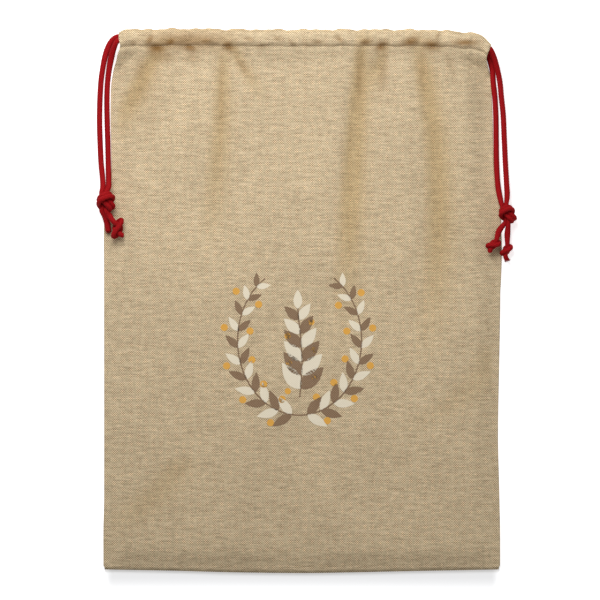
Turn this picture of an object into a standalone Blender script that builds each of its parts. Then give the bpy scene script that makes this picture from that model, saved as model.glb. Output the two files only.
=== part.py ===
"""Burlap drawstring sack, empty, lying flat on its back.

Two cuts of burlap are sewn together along the sides and the lower edge. The top edge of each is folded
over to the inside as a casing, and a red braided cord runs through each casing. At both upper corners
the two cords come out, hang down side by side, and are tied as a pair in one overhand knot.

Frame: +X to the right across the sack, +Y up towards its mouth, +Z out of its front. The origin is under
the middle of the sack, on the surface that it lies on. Tables and sizes are in millimetres.
"""
import math

import bmesh
import bpy
import numpy as np
from mathutils import Vector

MM = 0.001

# Driving dimensions
CLOTH = 1.2              # thickness of the burlap
PLY_GAP = 0.3            # between two plies that are sewn together
CORD = 6.3               # diameter of the braided cord inside a casing and in its tails
FREE_CORD = 7.0          # and where it lies open between a casing and a knot
TOP = 341.0              # nominal height of the top fold over the middle of the sack
BOTTOM = -340.0          # nominal height of the lower edge
CASING = 21.0            # from the top fold down to the casing's stitch line
HEM_END = 2.5            # how far the hem's raw edge passes the stitch line
FOLD_CURL = 3.0          # the back's cloth curls up off the surface this close to its top fold
CASING_BULGE = 7.5       # how much the cord lifts the casing's two plies apart
BACK_Z = CLOTH / 2       # mid-surface of the back cloth, flat on the surface
SEAM_Z = BACK_Z + CLOTH + PLY_GAP   # mid-surface of the front cloth where it is sewn to the back
FRONT_HEM_Z = 15.9       # mid-surface of the front casing's inner ply
SIDE_RISE = 35.0         # the front rises from the side seams over this width
FOOT_RISE = 28.0         # and from the lower edge over this one
END_LIFT = (283.0, 318.0)   # the front's side edges lift from the seam to the open casing ends here

# Side edges: nominal height, then x
LEFT_EDGE = ((-342, -250.0), (-290, -250.0), (-250, -248.8), (60, -248.7), (98, -248.3), (112, -246.0),
             (128, -242.0), (150, -239.8), (262, -240.3), (285, -239.3), (304, -236.6), (320, -232.6),
             (342, -231.7))
RIGHT_EDGE = ((-342, 249.4), (-290, 249.4), (-230, 248.1), (-170, 246.8), (-88, 248.1), (-20, 249.4),
              (30, 249.8), (80, 249.7), (112, 247.0), (126, 243.5), (140, 240.2), (160, 239.0),
              (250, 238.0), (268, 237.4), (284, 235.4), (300, 232.4), (312, 231.6), (320, 232.6),
              (342, 238.0))
# Top fold and lower edge: x, then y
TOP_EDGE = ((-232, 337.5), (-224, 340.3), (-200, 341.0), (-140, 341.8), (-60, 340.8), (60, 340.8),
            (160, 340.4), (190, 338.6), (214, 336.4), (224, 333.6), (231, 328.6), (238, 321.0))
LOWER_EDGE = ((-250, -338.4), (-160, -340.0), (-90, -341.9), (0, -342.9), (60, -342.1), (130, -340.6),
              (250, -338.4))
FOOT_REACH = 90.0        # the lower edge's sag is gone this far above it
CORNER_CUT = 1.6         # how far the lower corners are drawn in
BACK_TUCK = 0.8          # the back's top fold lies this far below the front's
TOP_SETTLE = 0.18        # share of the top fold's droop that is gone at the stitch line
TOP_REACH = 60.0         # the rest of it is gone this far below the stitch line
# Front's height over the surface where it lies free: nominal height, then z
FRONT_HEIGHT = ((-340, 8.4), (-280, 9.4), (-120, 9.0), (60, 9.6), (180, 10.6), (250, 12.6), (290, 15.4),
                (320, 17.4))

# Main folds of the front: a line through three points, its half width, its depth, and how far its left
# bank stands up beside it
FOLDS = (
    # x_top, y_top, x_mid, y_mid, x_low, y_low, half_width, depth, bank
    (77.0, 326.0, 66.0, 200.0, 55.0, -40.0, 15.0, 3.9, 0.45),
    (-97.0, 322.0, -103.0, 215.0, -118.0, 60.0, 13.0, 2.6, 0.35),
    (146.0, 322.0, 168.0, 190.0, 150.0, -90.0, 17.0, 3.2, 0.35),
    (-176.0, 326.0, -205.0, 270.0, -236.0, 200.0, 14.0, 3.4, 0.30),
    (-88.0, 324.0, -72.0, 292.0, -50.0, 250.0, 9.0, 2.0, 0.30),
    (106.0, 324.0, 98.0, 300.0, 88.0, 262.0, 9.0, 2.4, 0.30),
    (-150.0, -200.0, -200.0, -260.0, -246.0, -300.0, 26.0, 1.4, 0.20),
    (236.0, -60.0, 190.0, -130.0, 120.0, -170.0, 24.0, 1.2, 0.20),
)
BANK_PLACE = 1.9         # where a fold's bank stands, in half widths left of its middle
FOLD_FADE = 0.1          # a fold comes in over this share of its length at its top
FOLD_RUN = 0.45          # it keeps its depth over this share, then fades
FOLD_WIDTH = (0.75, 0.6)    # share of the half width at its top, and what it gains by its low end
STITCH_HOLD = 0.75       # the stitch line takes this share out of the folds that start at it
# Scallops of the gathered top edge and puckers of the stitch line: wavelength, size, phase
SCALLOPS = ((47.0, 0.7, 0.4), (31.0, 0.5, 1.9), (83.0, 0.6, 2.6))
PUCKERS = ((38.0, 0.8, 0.9), (61.0, 0.7, 2.2))
PUCKER_START = 8.0       # the puckers grow from here below the fold to the stitch line
HEM_LEVEL = 10.0         # the front's inner ply is level down to here, then bends to the stitch line
BULGE_POWER = 0.55       # under 1 fills out the casing's bulge towards its two edges

# Grid of each cloth
FRONT_COLUMNS = 44
FRONT_CROWDING = 0.3     # how much closer the columns stand at the sides than on average
BACK_COLUMNS = 26
BACK_CROWDING = 0.6
CASING_STEPS = (1.5, 4.5, 8.0, 11.5, 15.0, 18.0, 20.0)   # rows of the casing's outer ply below the fold
HEM_STEPS = (CASING + HEM_END, CASING, 17.0, 12.0, 7.0, 1.5)   # rows of its inner ply, raw edge first
FRONT_ROWS = 36
BACK_ROWS = 9
ROW_SPREAD = 1.35        # rows stand closer together near the mouth

# Cord routes from a casing's end down to the knot: x, y, z
CASING_Y = 329.5         # the cords' height inside the casings
CORD_PLAY = 0.4          # between a cord and the ply that it lies on
FRONT_CORD_Z = FRONT_HEM_Z + CLOTH / 2 + CORD_PLAY + CORD / 2
BACK_CORD_Z = CLOTH + CORD_PLAY + CORD / 2
FLOOR_Z = 3.85           # a cord's middle where it lies on the surface
CASING_RUN = (-200.0, -100.0, 0.0, 100.0, 195.0)
LEFT_FRONT = ((-226.0, 329.0, FRONT_CORD_Z), (-233.0, 326.6, FRONT_CORD_Z), (-237.6, 317.0, 15.4),
              (-240.2, 306.0, 9.4), (-242.4, 294.0, 6.0), (-244.6, 277.0, 4.2),
              (-245.6, 257.0, FLOOR_Z), (-245.3, 226.0, FLOOR_Z), (-244.5, 200.0, FLOOR_Z),
              (-243.4, 172.0, 5.4), (-242.7, 154.0, 11.2), (-243.2, 144.0, 16.4))
LEFT_BACK = ((-226.0, 329.4, BACK_CORD_Z), (-233.5, 328.8, BACK_CORD_Z), (-239.8, 324.4, 4.6),
             (-244.5, 317.0, FLOOR_Z), (-248.3, 307.0, FLOOR_Z), (-250.7, 294.0, FLOOR_Z),
             (-253.0, 277.0, FLOOR_Z), (-254.3, 257.0, FLOOR_Z), (-254.9, 226.0, FLOOR_Z),
             (-254.2, 200.0, FLOOR_Z), (-252.6, 172.0, 5.4), (-251.1, 154.0, 11.2), (-250.8, 144.0, 16.4))
RIGHT_FRONT = ((214.0, 327.6, FRONT_CORD_Z), (222.0, 325.2, FRONT_CORD_Z), (229.4, 321.4, FRONT_CORD_Z),
               (235.8, 316.4, 20.6), (241.4, 305.6, 14.2), (244.6, 295.6, 9.8), (248.9, 277.0, 4.4),
               (251.0, 257.0, FLOOR_Z), (253.2, 236.0, FLOOR_Z), (254.6, 206.0, FLOOR_Z),
               (255.7, 176.0, 5.0), (256.9, 148.0, 8.8), (257.2, 132.0, 12.4))
RIGHT_BACK = ((214.0, 327.6, BACK_CORD_Z), (222.0, 325.2, BACK_CORD_Z), (228.9, 321.0, BACK_CORD_Z),
              (235.4, 315.4, BACK_CORD_Z), (239.4, 306.4, 4.6), (239.6, 291.0, FLOOR_Z),
              (240.8, 275.0, FLOOR_Z), (242.8, 257.0, FLOOR_Z), (244.0, 236.0, FLOOR_Z),
              (244.7, 206.0, FLOOR_Z), (245.2, 176.0, 5.0), (246.9, 148.0, 8.8), (249.6, 132.0, 12.4))
CASING_POINTS = 4        # the casing still holds the cord at so many of a route's points
NECK = 0.95              # share of CORD at a route's last point, where the knot starts to draw it in
# An overhand knot drawn tight, from its middle out to one end, in knot units: across the cord, along it
# and towards the eye. Its other half is this one turned half round about the first axis.
KNOT_HALF = (
    (0.90, 0.00, 0.00), (0.85, 0.20, -0.60), (0.60, 0.50, -1.15), (0.00, 0.80, -1.40),
    (-0.65, 1.00, -1.15), (-1.00, 0.95, -0.55), (-1.05, 0.65, 0.10), (-0.65, 0.20, 0.50),
    (-0.15, -0.35, 0.48), (0.10, -0.95, 0.30), (0.20, -1.60, 0.20))
PAIR_SPREAD = (2.0, 1.8, 1.6)   # the knot opens up by this much for two cords side by side
PAIR_OFFSET = 0.53       # each of the two lies this far from their shared middle line
PAIR_TURN = -0.2         # radians that the pair is turned where it enters
DRAWN_CORD = 0.88        # a cord's diameter inside a knot, in knot units
KNOT_REACH = 1.6         # from a knot's middle to its low end, in knot units
KNOT_STEP = 0.12         # step along a knot's middle line as it is worked out, in knot units
KNOT_POINT = 0.62        # spacing of a tube's points inside a knot, in knot units
RUN_POINT = 2.5          # spacing of a tube's points elsewhere, in cord diameters

# Knots: middle, direction that the cord comes from, roll about it in degrees, and unit
LEFT_KNOT = dict(at=(-248.0, 124.0, 19.2), up=(0.0, 1.0, 0.0), roll=180.0, unit=5.0)
RIGHT_KNOT = dict(at=(257.0, 108.5, 15.9), up=(-0.12, 0.99, 0.0), roll=200.0, unit=4.5)
LEFT_STOPPER = dict(at=(-231.8, 91.0, 17.6), up=(-0.62, 0.78, 0.0), roll=90.0, unit=5.8)
RIGHT_STOPPER_IN = dict(at=(240.6, 70.6, 14.3), up=(0.42, 0.90, 0.1), roll=90.0, unit=5.0)
RIGHT_STOPPER_OUT = dict(at=(257.2, 63.6, 9.4), up=(0.05, 0.99, 0.05), roll=90.0, unit=4.8)
# Tails below the left knot, down to the stopper or to the bare end
LEFT_TAIL_BARE = ((-250.0, 103.4, 12.0), (-248.0, 95.0, 8.6), (-245.6, 86.0, 7.2))
RIGHT_TAIL_IN = ((247.4, 87.0, 14.4),)
RIGHT_TAIL_OUT = ((260.0, 84.0, 11.0),)
STUB = 1.6               # what is left of a tail past its stopper

BURLAP = dict(color=(0.52, 0.42, 0.28), roughness=0.95)
COTTON = dict(color=(0.36, 0.02, 0.02), roughness=0.85)


def clear_scene():
    for old in list(bpy.data.objects):
        bpy.data.objects.remove(old, do_unlink=True)


def make_collection(name):
    collection = bpy.data.collections.new(name)
    bpy.context.scene.collection.children.link(collection)
    return collection


def make_material(name, color, roughness):
    material = bpy.data.materials.new(name)
    material.use_nodes = True
    principled = material.node_tree.nodes["Principled BSDF"]
    principled.inputs["Base Color"].default_value = (*color, 1.0)
    principled.inputs["Roughness"].default_value = roughness
    principled.inputs["Metallic"].default_value = 0.0
    return material


def smoothstep(value):
    t = min(1.0, max(0.0, value))
    return t * t * (3.0 - 2.0 * t)


def along_table(table, at):
    """Smooth value at a place in a table of (place, value) rows, with places rising."""
    places = [row[0] for row in table]
    values = [row[1] for row in table]
    at = min(places[-1], max(places[0], at))
    i = min(len(table) - 2, max(0, int(np.searchsorted(places, at, side="right")) - 1))

    def slope(k):
        low, high = max(0, k - 1), min(len(table) - 1, k + 1)
        return (values[high] - values[low]) / (places[high] - places[low])

    step = places[i + 1] - places[i]
    t = (at - places[i]) / step
    start = values[i] * (1 + 2 * t) * (1 - t) ** 2 + slope(i) * step * t * (1 - t) ** 2
    return start + values[i + 1] * t * t * (3 - 2 * t) + slope(i + 1) * step * t * t * (t - 1)


def waves(table, x):
    return sum(size * math.sin(2 * math.pi * x / length + phase) for length, size, phase in table)


def fold_relief(x, y):
    """Height that the folds add to the front at a place."""
    relief = 0.0
    for x_top, y_top, x_mid, y_mid, x_low, y_low, half_width, depth, bank in FOLDS:
        t = (y_top - y) / (y_top - y_low)
        if not -FOLD_FADE < t < 1 + FOLD_FADE:
            continue
        t_mid = (y_top - y_mid) / (y_top - y_low)
        bend = (x_mid - x_top - (x_low - x_top) * t_mid) / (t_mid * (1 - t_mid))
        middle = x_top + (x_low - x_top) * t + bend * t * (1 - t)
        comes_in = smoothstep((t + FOLD_FADE) / (2 * FOLD_FADE))
        fades = smoothstep((t - FOLD_RUN) / (1 + FOLD_FADE - FOLD_RUN))
        strength = depth * comes_in * (1 - fades)
        width = half_width * (FOLD_WIDTH[0] + FOLD_WIDTH[1] * t)
        q = (x - middle) / width
        relief += strength * (bank * math.exp(-(q + BANK_PLACE) ** 2) - math.exp(-q * q))
    return relief


def casing_lift(below_fold):
    """Share of the casing's bulge at a distance below the top fold."""
    return math.sin(math.pi * min(1.0, max(0.0, below_fold / CASING))) ** BULGE_POWER


def edge_point(u, height, tuck):
    """Place in plan of a column (u from 0 to 1) in the row of this nominal height."""
    left, right = along_table(LEFT_EDGE, height), along_table(RIGHT_EDGE, height)
    x = left + (right - left) * u
    top_shift = along_table(TOP_EDGE, x) + waves(SCALLOPS, x) - TOP - tuck
    below = max(0.0, TOP - height)
    if below <= CASING:
        y = height + top_shift * (1 - TOP_SETTLE * below / CASING)
    else:
        y = height + top_shift * (1 - TOP_SETTLE) * (1 - smoothstep((below - CASING) / TOP_REACH))
    foot = smoothstep((BOTTOM + FOOT_REACH - height) / FOOT_REACH)
    y += foot * (along_table(LOWER_EDGE, x) - BOTTOM)
    if height <= BOTTOM and min(u, 1 - u) < 1e-6:
        x += CORNER_CUT if u < 0.5 else -CORNER_CUT
        y += CORNER_CUT
    return x, y


def front_height(u, x, height):
    """Mid-surface of the front's outer ply below its stitch line."""
    left, right = along_table(LEFT_EDGE, height), along_table(RIGHT_EDGE, height)
    side = smoothstep(min(x - left, right - x) / SIDE_RISE)
    lift = smoothstep((height - END_LIFT[0]) / (END_LIFT[1] - END_LIFT[0]))
    foot = smoothstep((height - BOTTOM) / FOOT_RISE)
    free = max(side, lift) * foot
    high = along_table(FRONT_HEIGHT, height) + fold_relief(x, height) * (1 - lift * STITCH_HOLD)
    return SEAM_Z + (high - SEAM_Z) * free


def body_rows(count):
    """Nominal heights from the stitch line to the lower edge."""
    top = TOP - CASING
    return [top - (top - BOTTOM) * (k / count) ** ROW_SPREAD for k in range(count + 1)]


def sheet_rows(count):
    """Rows of one cloth from the hem's raw edge over the fold down to the lower edge."""
    rows = [("hem", step) for step in HEM_STEPS]
    rows += [("fold", 0.0)]
    rows += [("casing", step) for step in CASING_STEPS]
    rows += [("body", height) for height in body_rows(count)]
    return rows


def front_point(u, kind, value):
    height = value if kind == "body" else TOP - value
    x, y = edge_point(u, height, 0.0)
    if kind == "body":
        return x, y, front_height(u, x, height)
    if kind == "fold":
        return x, y, FRONT_HEM_Z + CLOTH
    stitched = front_height(u, x, min(height, TOP - CASING)) - CLOTH - PLY_GAP
    hem = FRONT_HEM_Z + (stitched - FRONT_HEM_Z) * smoothstep((value - HEM_LEVEL) / (CASING - HEM_LEVEL))
    if kind == "hem":
        return x, y, hem
    lift = casing_lift(value)
    pucker = max(0.0, waves(PUCKERS, x)) * smoothstep((value - PUCKER_START) / (CASING - PUCKER_START))
    return x, y, hem + CLOTH + PLY_GAP + (CASING_BULGE + pucker) * lift


def back_point(u, kind, value):
    height = value if kind == "body" else TOP - value
    x, y = edge_point(u, height, BACK_TUCK)
    if kind == "fold":
        return x, y, BACK_Z + CLOTH
    if kind == "casing" and value < FOLD_CURL:
        return x, y, BACK_Z + PLY_GAP
    if kind in ("body", "casing"):
        return x, y, BACK_Z
    return x, y, BACK_Z + CLOTH + PLY_GAP + CASING_BULGE * casing_lift(value)


def make_sheet(name, columns, crowding, rows, point, material, collection):
    """A cloth: a grid laid point by point, then given its thickness."""
    mesh = bpy.data.meshes.new(name)
    bm = bmesh.new()
    bmesh.ops.create_grid(bm, x_segments=columns, y_segments=len(rows) - 1, size=0.5)
    for vertex in bm.verts:
        share = round((vertex.co.x + 0.5) * columns) / columns
        u = share - crowding * math.sin(2 * math.pi * share) / (2 * math.pi)
        kind, value = rows[round((0.5 - vertex.co.y) * (len(rows) - 1))]
        vertex.co = Vector(point(u, kind, value)) * MM
    bm.to_mesh(mesh)
    bm.free()
    sheet = bpy.data.objects.new(name, mesh)
    collection.objects.link(sheet)
    mesh.materials.append(material)
    mesh.shade_smooth()
    solid = sheet.modifiers.new("Cloth", "SOLIDIFY")
    solid.thickness = CLOTH * MM
    solid.offset = 0.0
    solid.use_even_offset = True
    return sheet


def spline_points(points, spacing):
    """Points read from a smooth curve through the route's own, with one radius share each."""
    rows = [np.array(p, dtype=float) for p in points]
    rows = [2 * rows[0] - rows[1], *rows, 2 * rows[-1] - rows[-2]]
    out = []
    for p0, p1, p2, p3 in zip(rows, rows[1:], rows[2:], rows[3:]):
        t1 = math.sqrt(np.linalg.norm(p1[:3] - p0[:3]))
        t2 = t1 + math.sqrt(np.linalg.norm(p2[:3] - p1[:3]))
        t3 = t2 + math.sqrt(np.linalg.norm(p3[:3] - p2[:3]))
        pieces = max(1, round(np.linalg.norm(p2[:3] - p1[:3]) / spacing(min(p1[3], p2[3]))))
        for k in range(pieces):
            t = t1 + (t2 - t1) * k / pieces
            a1 = (t1 - t) / t1 * p0 + t / t1 * p1
            a2 = (t2 - t) / (t2 - t1) * p1 + (t - t1) / (t2 - t1) * p2
            a3 = (t3 - t) / (t3 - t2) * p2 + (t - t2) / (t3 - t2) * p3
            b1 = (t2 - t) / t2 * a1 + t / t2 * a2
            b2 = (t3 - t) / (t3 - t1) * a2 + (t - t1) / (t3 - t1) * a3
            out.append((t2 - t) / (t2 - t1) * b1 + (t - t1) / (t2 - t1) * b2)
    out.append(rows[-2])
    return out


def knot_points(at, up, roll, unit, pair_side=0):
    """An overhand knot's route, entered from its up side, with each point's share of the cord's radius.

    pair_side is 0 for a cord knotted alone, and 1 or -1 for either cord of a pair.
    """
    along = Vector(up).normalized()
    across = along.cross(Vector((0.0, 0.0, 1.0))).normalized()
    toward = across.cross(along)
    turn = math.radians(roll)
    side = across * math.cos(turn) + toward * math.sin(turn)
    face = toward * math.cos(turn) - across * math.sin(turn)
    spread = PAIR_SPREAD if pair_side else (1.0, 1.0, 1.0)
    half = [np.array(p) * spread for p in KNOT_HALF]
    turned = [p * (1, -1, -1) for p in half[:0:-1]]
    middle_line = spline_points([(*p, 1.0) for p in turned + half], lambda share: KNOT_STEP)
    middle_line = [p[:3] for p in middle_line]
    share = DRAWN_CORD * unit / CORD
    offset = np.array((math.cos(PAIR_TURN), 0.0, math.sin(PAIR_TURN)))
    route, walked = [], 0.0
    for k, here in enumerate(middle_line):
        before, after = middle_line[max(0, k - 1)], middle_line[min(len(middle_line) - 1, k + 1)]
        tangent = (after - before) / np.linalg.norm(after - before)
        offset = offset - tangent * offset.dot(tangent)
        offset /= np.linalg.norm(offset)
        walked += np.linalg.norm(here - before)
        if route and walked < KNOT_POINT and k < len(middle_line) - 1:
            continue
        walked = 0.0
        place = (here + offset * PAIR_OFFSET * pair_side) * unit
        world = Vector(at) + side * place[0] + along * place[1] + face * place[2]
        route.append((*world, share))
    return route


def full(points):
    return [(*p, 1.0) for p in points]


def hung(points):
    """A route down from a casing: the cord opens up once it is out, and is drawn in at the knot."""
    free = [(*p, 1.0 if k < CASING_POINTS else FREE_CORD / CORD) for k, p in enumerate(points[:-1])]
    return free + [(*points[-1], NECK)]


def stub(knot):
    """The tail's end past its stopper."""
    at, along = Vector(knot["at"]), Vector(knot["up"]).normalized()
    end = at - along * (KNOT_REACH * knot["unit"] + STUB)
    return [(*end, DRAWN_CORD * knot["unit"] / CORD)]


def cord_routes():
    """Each cord's whole route, from the tail at the left corner to the tail at the right corner."""
    left_front = (hung(LEFT_FRONT) + knot_points(**LEFT_KNOT, pair_side=-1) + full(LEFT_TAIL_BARE))
    left_back = (hung(LEFT_BACK) + knot_points(**LEFT_KNOT, pair_side=1)
                 + knot_points(**LEFT_STOPPER) + stub(LEFT_STOPPER))
    right_front = (hung(RIGHT_FRONT) + knot_points(**RIGHT_KNOT, pair_side=-1) + full(RIGHT_TAIL_IN)
                   + knot_points(**RIGHT_STOPPER_IN) + stub(RIGHT_STOPPER_IN))
    right_back = (hung(RIGHT_BACK) + knot_points(**RIGHT_KNOT, pair_side=1) + full(RIGHT_TAIL_OUT)
                  + knot_points(**RIGHT_STOPPER_OUT) + stub(RIGHT_STOPPER_OUT))
    front_run = [(x, CASING_Y, FRONT_CORD_Z, 1.0) for x in CASING_RUN]
    back_run = [(x, CASING_Y, BACK_CORD_Z, 1.0) for x in CASING_RUN]
    return {"drawcord_front": left_front[::-1] + front_run + right_front,
            "drawcord_back": left_back[::-1] + back_run + right_back}


def make_cord(name, route, material, collection):
    curve = bpy.data.curves.new(name, "CURVE")
    curve.dimensions = "3D"
    curve.bevel_depth = CORD / 2 * MM
    curve.bevel_resolution = 2
    curve.use_fill_caps = True
    curve.resolution_u = 1
    curve.render_resolution_u = 0
    points = spline_points(route, lambda share: CORD * (KNOT_POINT if share < 1.0 else RUN_POINT))
    spline = curve.splines.new("POLY")
    spline.points.add(len(points) - 1)
    for target, (x, y, z, share) in zip(spline.points, points):
        target.co = (x * MM, y * MM, z * MM, 1.0)
        target.radius = share
    spline.use_smooth = True
    curve.materials.append(material)
    cord = bpy.data.objects.new(name, curve)
    collection.objects.link(cord)
    return cord


def build():
    clear_scene()
    sack = make_collection("burlap_sack")
    front_cloth = make_material("front_burlap", **BURLAP)
    back_cloth = make_material("back_burlap", **BURLAP)
    make_sheet("front_panel", FRONT_COLUMNS, FRONT_CROWDING, sheet_rows(FRONT_ROWS), front_point,
               front_cloth, sack)
    make_sheet("back_panel", BACK_COLUMNS, BACK_CROWDING, sheet_rows(BACK_ROWS), back_point,
               back_cloth, sack)
    for name, route in cord_routes().items():
        make_cord(name, route, make_material(f"{name}_cotton", **COTTON), sack)


build()
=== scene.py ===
"""Burlap drawstring sack: its looks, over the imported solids.

The shape section follows the part's own tables and functions, with the cords and the cloth's sides moved a
few millimetres, and adds the finer creases. Its sizes are in millimetres, in the frame of the solids.
"""

import random
from math import atan2, cos, exp, hypot, pi, radians, sin, sqrt

import bmesh
import bpy
import numpy as np
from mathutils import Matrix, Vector, noise
from numpy.linalg import norm


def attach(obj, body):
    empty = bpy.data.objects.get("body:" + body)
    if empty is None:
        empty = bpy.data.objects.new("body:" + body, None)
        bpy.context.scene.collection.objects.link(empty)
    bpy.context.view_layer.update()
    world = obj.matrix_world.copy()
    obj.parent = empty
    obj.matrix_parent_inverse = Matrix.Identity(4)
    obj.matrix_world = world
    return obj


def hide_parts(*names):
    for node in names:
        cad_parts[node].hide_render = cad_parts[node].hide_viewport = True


MM = 0.001

# Driving dimensions
CLOTH = 1.2  # thickness of the burlap
PLY_GAP = 0.3  # between two plies that are sewn together
CORD = 6.3  # diameter of the braided cord inside a casing and in its tails
FREE_CORD = 7.0  # and where it lies open between a casing and a knot
TOP = 341.0  # nominal height of the top fold over the middle of the sack
BOTTOM = -340.0  # nominal height of the lower edge
CASING = 21.0  # from the top fold down to the casing's stitch line
HEM_START = 1.5  # the hem's first row lies this far below the top fold
HEM_END = 2.5  # how far the hem's raw edge passes the stitch line
FOLD_CURL = 3.0  # the back's cloth curls up off the surface this close to its top fold
CASING_BULGE = 7.5  # how much the cord lifts the casing's two plies apart
BACK_Z = CLOTH / 2  # mid-surface of the back cloth, flat on the surface
SEAM_Z = BACK_Z + CLOTH + PLY_GAP  # mid-surface of the front cloth where it is sewn to the back
FRONT_HEM_Z = 15.9  # mid-surface of the front casing's inner ply
SIDE_RISE = 35.0  # the front rises from the side seams over this width
FOOT_RISE = 28.0  # and from the lower edge over this one
END_LIFT = (283.0, 318.0)  # the front's side edges lift from the seam to the open casing ends here

# Side edges: nominal height, then x
LEFT_EDGE = ((-342, -250), (-290, -250), (-250, -248.8), (60, -248.7), (98, -248.3), (112, -246),
             (128, -242), (150, -239.8), (262, -240.3), (285, -239.3), (304, -236.6), (320, -232.6),
             (342, -231.7))
RIGHT_EDGE = ((-342, 249.4), (-290, 249.4), (-230, 248.1), (-170, 246.8), (-88, 248.1), (-20, 249.4),
              (30, 249.8), (80, 249.7), (112, 247), (126, 243.5), (140, 240.2), (160, 239),
              (250, 238), (268, 237.4), (284, 235.4), (300, 232.4), (312, 231.6), (320, 232.6),
              (342, 238))
# Top fold and lower edge: x, then y
TOP_EDGE = ((-232, 337.5), (-224, 340.3), (-200, 341), (-140, 341.8), (-60, 340.8), (60, 340.8),
            (160, 340.4), (190, 338.6), (214, 336.4), (224, 333.6), (231, 328.6), (238, 321))
LOWER_EDGE = ((-250, -338.4), (-160, -340), (-90, -341.9), (0, -342.9), (60, -342.1), (130, -340.6),
              (250, -338.4))
FOOT_REACH = 90.0  # the lower edge's sag is gone this far above it
CORNER_CUT = 1.6  # how far the lower corners are drawn in
BACK_TUCK = 0.8  # the back's top fold lies this far below the front's
TOP_SETTLE = 0.18  # share of the top fold's droop that is gone at the stitch line
TOP_REACH = 60.0  # the rest of it is gone this far below the stitch line
# Front's height over the surface where it lies free: nominal height, then z
FRONT_HEIGHT = ((-340, 8.4), (-280, 9.4), (-120, 9), (60, 9.6), (180, 10.6), (250, 12.6), (290, 15.4),
                (320, 17.4))

# Main folds of the front, each along three points, and how far its left bank stands up beside it
FOLDS = (
    # x_top, y_top, x_mid, y_mid, x_low, y_low, half_width, depth, bank
    (77, 326, 66, 200, 55, -40, 15, 3.9, 0.45),
    (-97, 322, -103, 215, -118, 60, 13, 2.6, 0.35),
    (146, 322, 168, 190, 150, -90, 17, 3.2, 0.35),
    (-176, 326, -205, 270, -236, 200, 14, 3.4, 0.3),
    (-88, 324, -72, 292, -50, 250, 9, 2, 0.3),
    (106, 324, 98, 300, 88, 262, 9, 2.4, 0.3),
    (-150, -200, -200, -260, -246, -300, 26, 1.4, 0.2),
    (236, -60, 190, -130, 120, -170, 24, 1.2, 0.2),
)
BANK_PLACE = 1.9  # where a fold's bank stands, in half widths left of its middle
FOLD_FADE = 0.1  # a fold comes in over this share of its length at its top
FOLD_RUN = 0.45  # it keeps its depth over this share, then fades
FOLD_WIDTH = (0.75, 0.6)  # share of the half width at its top, and what it gains by its low end
STITCH_HOLD = 0.75  # the stitch line takes this share out of the folds that start at it
# Ripple of the gathered top edge and puckers of the stitch line: wavelength, size, phase
SCALLOPS = ((43, 0.3, 0.4), (27, 0.28, 2), (15, 0.22, 0.8))
PUCKERS = ((38, 0.8, 0.9), (61, 0.7, 2.2))
SCALLOP_REACH, SCALLOP_DROP = 12.0, 0.5  # this close to the top fold the ripple doubles, less the drop
PUCKER_START = 8.0  # the puckers grow from here below the fold to the stitch line
HEM_LEVEL = 10.0  # the front's inner ply is level down to here, then bends to the stitch line
BULGE_POWER = 0.55  # under 1 fills out the casing's bulge towards its two edges

# Cord routes from a casing's end down to the knot: x, y, z
CASING_Y = 329.5  # the cords' height inside the casings
CORD_PLAY = 0.4  # between a cord and the ply that it lies on
FRONT_CORD_Z = FRONT_HEM_Z + CLOTH / 2 + CORD_PLAY + CORD / 2
BACK_CORD_Z = CLOTH + CORD_PLAY + CORD / 2
FLOOR_Z = 3.85  # a cord's middle where it lies on the surface
CASING_RUN = (-200, -100, 0, 100, 195)
LEFT_FRONT = ((-226, 329, FRONT_CORD_Z), (-232.2, 325.6, FRONT_CORD_Z), (-236.6, 316.6, 15.4),
              (-239.9, 306, 9.4), (-242.4, 294, 6), (-244.6, 277, 4.2),
              (-245.6, 257, FLOOR_Z), (-245.3, 226, FLOOR_Z), (-244.5, 200, FLOOR_Z),
              (-243.8, 172, 5.4), (-243.3, 154, 11.2), (-243.2, 143, 16.4))
LEFT_BACK = ((-226, 331.8, BACK_CORD_Z), (-232.2, 332.4, BACK_CORD_Z), (-238.6, 328.2, 4.9),
             (-243.9, 319, 4.4), (-247.8, 307.6, 4.2), (-250.7, 294, FLOOR_Z),
             (-253, 277, FLOOR_Z), (-254.3, 257, FLOOR_Z), (-254.9, 226, FLOOR_Z),
             (-254.2, 200, FLOOR_Z), (-252.8, 172, 5.4), (-250.8, 154, 11.2), (-250.2, 143, 16.4))
RIGHT_FRONT = ((214, 327.6, FRONT_CORD_Z), (222, 325.2, FRONT_CORD_Z), (229.4, 321.4, FRONT_CORD_Z),
               (235.8, 316.4, 20.6), (241.4, 305.6, 14.2), (244.6, 295.6, 9.8), (248.9, 277, 4.4),
               (251, 257, FLOOR_Z), (253.2, 236, FLOOR_Z), (254.6, 206, FLOOR_Z),
               (255.9, 176, 5), (257.4, 148, 8.8), (258, 132, 12.4))
RIGHT_BACK = ((214, 327.6, BACK_CORD_Z), (222, 325.2, BACK_CORD_Z), (227.6, 320.2, BACK_CORD_Z),
              (232, 314.2, BACK_CORD_Z), (235.6, 305.6, 4.6), (239.6, 290, FLOOR_Z),
              (240.8, 275, FLOOR_Z), (242.8, 257, FLOOR_Z), (244, 236, FLOOR_Z),
              (244.5, 206, FLOOR_Z), (244.9, 176, 5), (246.3, 148, 8.8), (248.6, 132, 12.4))
# Share of CORD at the first points of a route, round its corner
LEFT_SHOULDER, RIGHT_SHOULDER = (1.0, 1.04, 1.12, 1.26, 1.20), (1.0, 1.0, 1.04, 1.11, 1.14)
NECK = 1.14  # share of CORD at a route's last point, where the knot starts to draw it in
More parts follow.
